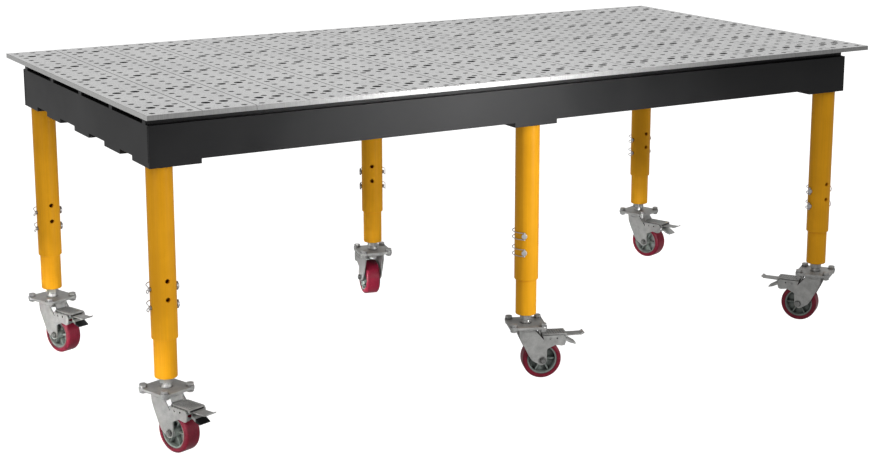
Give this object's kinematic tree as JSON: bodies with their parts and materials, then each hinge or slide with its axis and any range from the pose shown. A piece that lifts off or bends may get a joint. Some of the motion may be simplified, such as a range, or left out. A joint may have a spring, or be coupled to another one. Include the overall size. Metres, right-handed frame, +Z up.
{
  "type": "welding table",
  "caption": "Perforated steel welding table on telescoping pinned legs with braked swivel casters; holds work with clamps and pins set in a square grid of holes.",
  "frame": {"origin": "on the floor under the middle of the table top", "axes": "+X along the length of the top, +Y to the back, +Z up"},
  "size_m": [2.4037, 1.3163, 0.92],
  "materials": {
    "plate_steel": "ground and lightly brushed",
    "screw_steel": "dark oiled steel",
    "frame_black": "black powder coat, satin",
    "leg_yellow": "amber yellow enamel, semi-gloss",
    "zinc": "bright zinc plate",
    "pin_zinc": "zinc plate",
    "hub_grey": "grey-green enamel",
    "tread_red": "burgundy polyurethane, satin"
  },
  "bodies": {
    "frame": {"top_plates": "plate_steel", "plate_screws": "screw_steel", "long_beams": "frame_black", "aprons": "frame_black", "cross_members": "frame_black", "outer_legs": "leg_yellow"},
    "leg_front_left": {"inner_leg_front_left": "leg_yellow", "caster_mount_front_left": "zinc"},
    "caster_front_left": {"yoke_front_left": "zinc", "axle_front_left": "zinc"},
    "wheel_front_left": {"hub_front_left": "hub_grey", "tread_front_left": "tread_red"},
    "pedal_front_left": {"brake_pedal_front_left": "zinc"},
    "pins_front_left": {"lock_pins_front_left": "pin_zinc"},
    "bails_front_left": {"pin_bails_front_left": "pin_zinc"},
    "leg_front_middle": {"inner_leg_front_middle": "leg_yellow", "caster_mount_front_middle": "zinc"},
    "caster_front_middle": {"yoke_front_middle": "zinc", "axle_front_middle": "zinc"},
    "wheel_front_middle": {"hub_front_middle": "hub_grey", "tread_front_middle": "tread_red"},
    "pedal_front_middle": {"brake_pedal_front_middle": "zinc"},
    "pins_front_middle": {"lock_pins_front_middle": "pin_zinc"},
    "bails_front_middle": {"pin_bails_front_middle": "pin_zinc"},
    "leg_front_right": {"inner_leg_front_right": "leg_yellow", "caster_mount_front_right": "zinc"},
    "caster_front_right": {"yoke_front_right": "zinc", "axle_front_right": "zinc"},
    "wheel_front_right": {"hub_front_right": "hub_grey", "tread_front_right": "tread_red"},
    "pedal_front_right": {"brake_pedal_front_right": "zinc"},
    "pins_front_right": {"lock_pins_front_right": "pin_zinc"},
    "bails_front_right": {"pin_bails_front_right": "pin_zinc"},
    "leg_back_left": {"inner_leg_back_left": "leg_yellow", "caster_mount_back_left": "zinc"},
    "caster_back_left": {"yoke_back_left": "zinc", "axle_back_left": "zinc"},
    "wheel_back_left": {"hub_back_left": "hub_grey", "tread_back_left": "tread_red"},
    "pedal_back_left": {"brake_pedal_back_left": "zinc"},
    "pins_back_left": {"lock_pins_back_left": "pin_zinc"},
    "bails_back_left": {"pin_bails_back_left": "pin_zinc"},
    "leg_back_middle": {"inner_leg_back_middle": "leg_yellow", "caster_mount_back_middle": "zinc"},
    "caster_back_middle": {"yoke_back_middle": "zinc", "axle_back_middle": "zinc"},
    "wheel_back_middle": {"hub_back_middle": "hub_grey", "tread_back_middle": "tread_red"},
    "pedal_back_middle": {"brake_pedal_back_middle": "zinc"},
    "pins_back_middle": {"lock_pins_back_middle": "pin_zinc"},
    "bails_back_middle": {"pin_bails_back_middle": "pin_zinc"},
    "leg_back_right": {"inner_leg_back_right": "leg_yellow", "caster_mount_back_right": "zinc"},
    "caster_back_right": {"yoke_back_right": "zinc", "axle_back_right": "zinc"},
    "wheel_back_right": {"hub_back_right": "hub_grey", "tread_back_right": "tread_red"},
    "pedal_back_right": {"brake_pedal_back_right": "zinc"},
    "pins_back_right": {"lock_pins_back_right": "pin_zinc"},
    "bails_back_right": {"pin_bails_back_right": "pin_zinc"}
  },
  "joints": [
    {"name": "height_front_left", "type": "slide", "parent": "frame", "child": "leg_front_left", "axis": [0, 0, -1], "range_m": [0, 0.3]},
    {"name": "swivel_front_left", "type": "hinge", "parent": "leg_front_left", "child": "caster_front_left", "pos_m": [-1.128, -0.485, 0.158], "axis": [0, 0, 1], "continuous": true},
    {"name": "roll_front_left", "type": "hinge", "parent": "caster_front_left", "child": "wheel_front_left", "pos_m": [-1.11265, -0.52836, 0.058], "axis": [0.9426, 0.3338, 0], "continuous": true},
    {"name": "brake_front_left", "type": "hinge", "parent": "caster_front_left", "child": "pedal_front_left", "pos_m": [-1.1053, -0.5491, 0.1245], "axis": [0.9426, 0.3338, 0], "range_deg": [0, 14]},
    {"name": "pins_front_left", "type": "slide", "parent": "frame", "child": "pins_front_left", "axis": [1, 0, 0], "range_m": [0, 0.08]},
    {"name": "bails_front_left", "type": "hinge", "parent": "pins_front_left", "child": "bails_front_left", "pos_m": [-1.088, -0.485, 0.414], "axis": [0, 0, 1], "range_deg": [-152.5, 0]},
    {"name": "height_front_middle", "type": "slide", "parent": "frame", "child": "leg_front_middle", "axis": [0, 0, -1], "range_m": [0, 0.3]},
    {"name": "swivel_front_middle", "type": "hinge", "parent": "leg_front_middle", "child": "caster_front_middle", "pos_m": [0, -0.485, 0.158], "axis": [0, 0, 1], "continuous": true},
    {"name": "roll_front_middle", "type": "hinge", "parent": "caster_front_middle", "child": "wheel_front_middle", "pos_m": [0.04265, -0.50223, 0.058], "axis": [0.3746, 0.9272, 0], "continuous": true},
    {"name": "brake_front_middle", "type": "hinge", "parent": "caster_front_middle", "child": "pedal_front_middle", "pos_m": [0.06305, -0.51047, 0.1245], "axis": [0.3746, 0.9272, 0], "range_deg": [0, 14]},
    {"name": "pins_front_middle", "type": "slide", "parent": "frame", "child": "pins_front_middle", "axis": [-0.6691, -0.7431, 0], "range_m": [0, 0.08]},
    {"name": "bails_front_middle", "type": "hinge", "parent": "pins_front_middle", "child": "bails_front_middle", "pos_m": [-0.02677, -0.51473, 0.414], "axis": [0, 0, 1], "range_deg": [0, 152.5]},
    {"name": "height_front_right", "type": "slide", "parent": "frame", "child": "leg_front_right", "axis": [0, 0, -1], "range_m": [0, 0.3]},
    {"name": "swivel_front_right", "type": "hinge", "parent": "leg_front_right", "child": "caster_front_right", "pos_m": [1.128, -0.485, 0.158], "axis": [0, 0, 1], "continuous": true},
    {"name": "roll_front_right", "type": "hinge", "parent": "caster_front_right", "child": "wheel_front_right", "pos_m": [1.10096, -0.44778, 0.058], "axis": [-0.809, -0.5878, 0], "continuous": true},
    {"name": "brake_front_right", "type": "hinge", "parent": "caster_front_right", "child": "pedal_front_right", "pos_m": [1.08803, -0.42999, 0.1245], "axis": [-0.809, -0.5878, 0], "range_deg": [0, 14]},
    {"name": "pins_front_right", "type": "slide", "parent": "frame", "child": "pins_front_right", "axis": [-1, 0, 0], "range_m": [0, 0.08]},
    {"name": "bails_front_right", "type": "hinge", "parent": "pins_front_right", "child": "bails_front_right", "pos_m": [1.088, -0.485, 0.414], "axis": [0, 0, 1], "range_deg": [0, 152.5]},
    {"name": "height_back_left", "type": "slide", "parent": "frame", "child": "leg_back_left", "axis": [0, 0, -1], "range_m": [0, 0.3]},
    {"name": "swivel_back_left", "type": "hinge", "parent": "leg_back_left", "child": "caster_back_left", "pos_m": [-1.128, 0.485, 0.158], "axis": [0, 0, 1], "continuous": true},
    {"name": "roll_back_left", "type": "hinge", "parent": "caster_back_left", "child": "wheel_back_left", "pos_m": [-1.11227, 0.44177, 0.058], "axis": [0.9397, 0.342, 0], "continuous": true},
    {"name": "brake_back_left", "type": "hinge", "parent": "caster_back_left", "child": "pedal_back_left", "pos_m": [-1.10474, 0.4211, 0.1245], "axis": [0.9397, 0.342, 0], "range_deg": [0, 14]},
    {"name": "pins_back_left", "type": "slide", "parent": "frame", "child": "pins_back_left", "axis": [1, 0, 0], "range_m": [0, 0.08]},
    {"name": "bails_back_left", "type": "hinge", "parent": "pins_back_left", "child": "bails_back_left", "pos_m": [-1.088, 0.485, 0.414], "axis": [0, 0, 1], "range_deg": [-152.5, 0]},
    {"name": "height_back_middle", "type": "slide", "parent": "frame", "child": "leg_back_middle", "axis": [0, 0, -1], "range_m": [0, 0.3]},
    {"name": "swivel_back_middle", "type": "hinge", "parent": "leg_back_middle", "child": "caster_back_middle", "pos_m": [0, 0.485, 0.158], "axis": [0, 0, 1], "continuous": true},
    {"name": "roll_back_middle", "type": "hinge", "parent": "caster_back_middle", "child": "wheel_back_middle", "pos_m": [0.00956, 0.52999, 0.058], "axis": [-0.9781, 0.2079, 0], "continuous": true},
    {"name": "brake_back_middle", "type": "hinge", "parent": "caster_back_middle", "child": "pedal_back_middle", "pos_m": [0.01414, 0.55151, 0.1245], "axis": [-0.9781, 0.2079, 0], "range_deg": [0, 14]},
    {"name": "pins_back_middle", "type": "slide", "parent": "frame", "child": "pins_back_middle", "axis": [-0.8829, 0.4695, 0], "range_m": [0, 0.08]},
    {"name": "bails_back_middle", "type": "hinge", "parent": "pins_back_middle", "child": "bails_back_middle", "pos_m": [-0.03532, 0.50378, 0.414], "axis": [0, 0, 1], "range_deg": [0, 152.5]},
    {"name": "height_back_right", "type": "slide", "parent": "frame", "child": "leg_back_right", "axis": [0, 0, -1], "range_m": [0, 0.3]},
    {"name": "swivel_back_right", "type": "hinge", "parent": "leg_back_right", "child": "caster_back_right", "pos_m": [1.128, 0.485, 0.158], "axis": [0, 0, 1], "continuous": true},
    {"name": "roll_back_right", "type": "hinge", "parent": "caster_back_right", "child": "wheel_back_right", "pos_m": [1.14373, 0.44177, 0.058], "axis": [0.9397, 0.342, 0], "continuous": true},
    {"name": "brake_back_right", "type": "hinge", "parent": "caster_back_right", "child": "pedal_back_right", "pos_m": [1.15126, 0.4211, 0.1245], "axis": [0.9397, 0.342, 0], "range_deg": [0, 14]},
    {"name": "pins_back_right", "type": "slide", "parent": "frame", "child": "pins_back_right", "axis": [1, 0, 0], "range_m": [0, 0.08]},
    {"name": "bails_back_right", "type": "hinge", "parent": "pins_back_right", "child": "bails_back_right", "pos_m": [1.168, 0.485, 0.414], "axis": [0, 0, 1], "range_deg": [-152.5, 0]}
  ],
  "couplings": [
    {"joint": "bails_front_left", "follows": "pins_front_left", "rad_per_m": -33.161},
    {"joint": "bails_front_middle", "follows": "pins_front_middle", "rad_per_m": 33.161},
    {"joint": "bails_front_right", "follows": "pins_front_right", "rad_per_m": 33.161},
    {"joint": "bails_back_left", "follows": "pins_back_left", "rad_per_m": -33.161},
    {"joint": "bails_back_middle", "follows": "pins_back_middle", "rad_per_m": 33.161},
    {"joint": "bails_back_right", "follows": "pins_back_right", "rad_per_m": -33.161}
  ]
}
